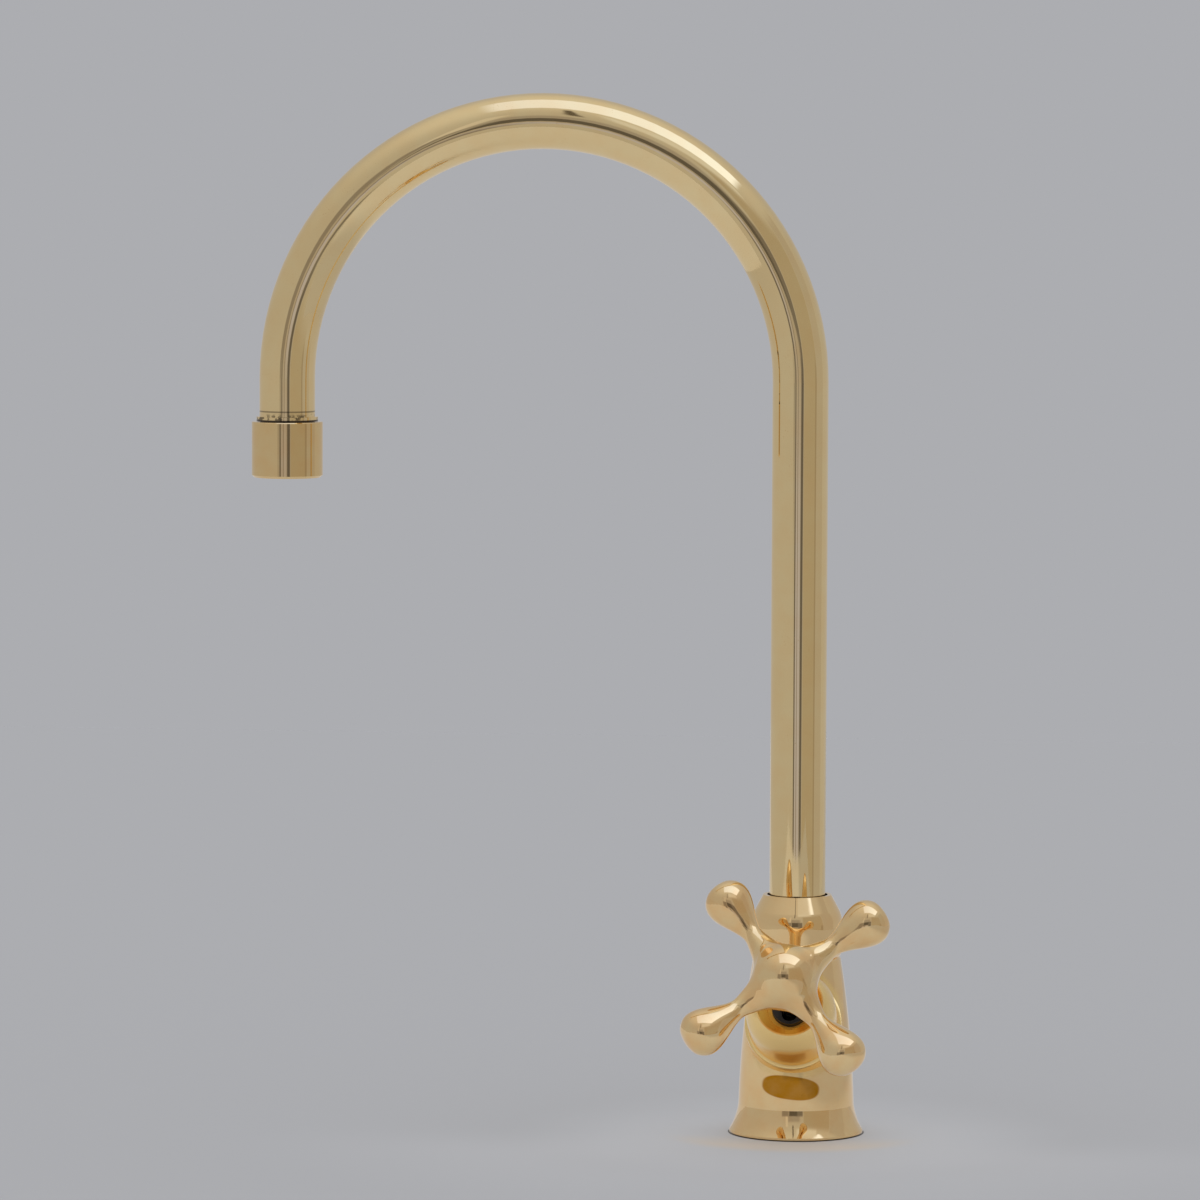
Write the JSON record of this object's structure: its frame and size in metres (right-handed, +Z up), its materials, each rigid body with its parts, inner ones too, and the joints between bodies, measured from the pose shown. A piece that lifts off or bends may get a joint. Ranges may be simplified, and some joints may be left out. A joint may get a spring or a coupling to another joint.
{
  "type": "single-hole faucet",
  "caption": "Single-hole deck faucet in polished brass with a swivelling gooseneck spout and a bulb-armed cross handle on a leaning joystick cartridge.",
  "frame": {"origin": "mouth of the mounting-stud hole, at the centre of the body's underside, on the deck's surface", "axes": "+Z up along the body's axis, spout towards -X, cartridge port and handle towards -Y"},
  "size_m": [0.2563, 0.1109, 0.4084],
  "materials": {
    "body_brass": "polished, unlacquered",
    "bonnet_brass": "polished, unlacquered",
    "spout_brass": "polished, unlacquered",
    "handle_brass": "polished casting",
    "nut_brass": "as machined",
    "cartridge_plastic": "moulded",
    "glide_plastic": "moulded",
    "insert_plastic": "moulded",
    "disc_ceramic": "lapped",
    "seal_rubber": "moulded",
    "lever_steel": "turned"
  },
  "bodies": {
    "root": {"body": "body_brass", "spout_bonnet": "bonnet_brass", "lower_glide_washer": "glide_plastic", "upper_glide_washer": "glide_plastic", "base_seal": "seal_rubber", "cartridge_seals": "seal_rubber", "cartridge_foot": "cartridge_plastic", "fixed_disc": "disc_ceramic", "cartridge_housing": "cartridge_plastic", "cartridge_nut": "nut_brass"},
    "spout": {"spigot": "nut_brass", "spigot_o_rings": "seal_rubber", "spout_tube": "spout_brass", "outlet_adaptor": "spout_brass", "aerator_housing": "spout_brass", "aerator_washer": "seal_rubber", "aerator_insert": "insert_plastic", "aerator_grid": "insert_plastic"},
    "cartridge_core": {"rotor": "cartridge_plastic", "lever_pin": "lever_steel"},
    "disc_slider": {"disc_carrier": "glide_plastic", "moving_disc": "disc_ceramic"},
    "handle": {"lever": "lever_steel", "cross_handle": "handle_brass", "handle_screw": "lever_steel"}
  },
  "joints": [
    {"name": "spout_swivel", "type": "hinge", "parent": "root", "child": "spout", "pos_m": [0, 0, 0.1], "axis": [0, 0, 1], "continuous": true},
    {"name": "temperature_turn", "type": "hinge", "parent": "root", "child": "cartridge_core", "pos_m": [0, 0, 0.0369], "axis": [0, -0.8988, 0.4384], "range_deg": [-45, 45]},
    {"name": "flow_tilt", "type": "hinge", "parent": "cartridge_core", "child": "handle", "pos_m": [0, -0.02804, 0.05058], "axis": [1, 0, 0], "range_deg": [0, 20]},
    {"name": "disc_slide", "type": "slide", "parent": "cartridge_core", "child": "disc_slider", "axis": [0, 0.4384, 0.8988], "range_m": [0, 0.0019]}
  ],
  "couplings": [
    {"joint": "disc_slide", "follows": "flow_tilt", "m_per_rad": 0.0054}
  ]
}
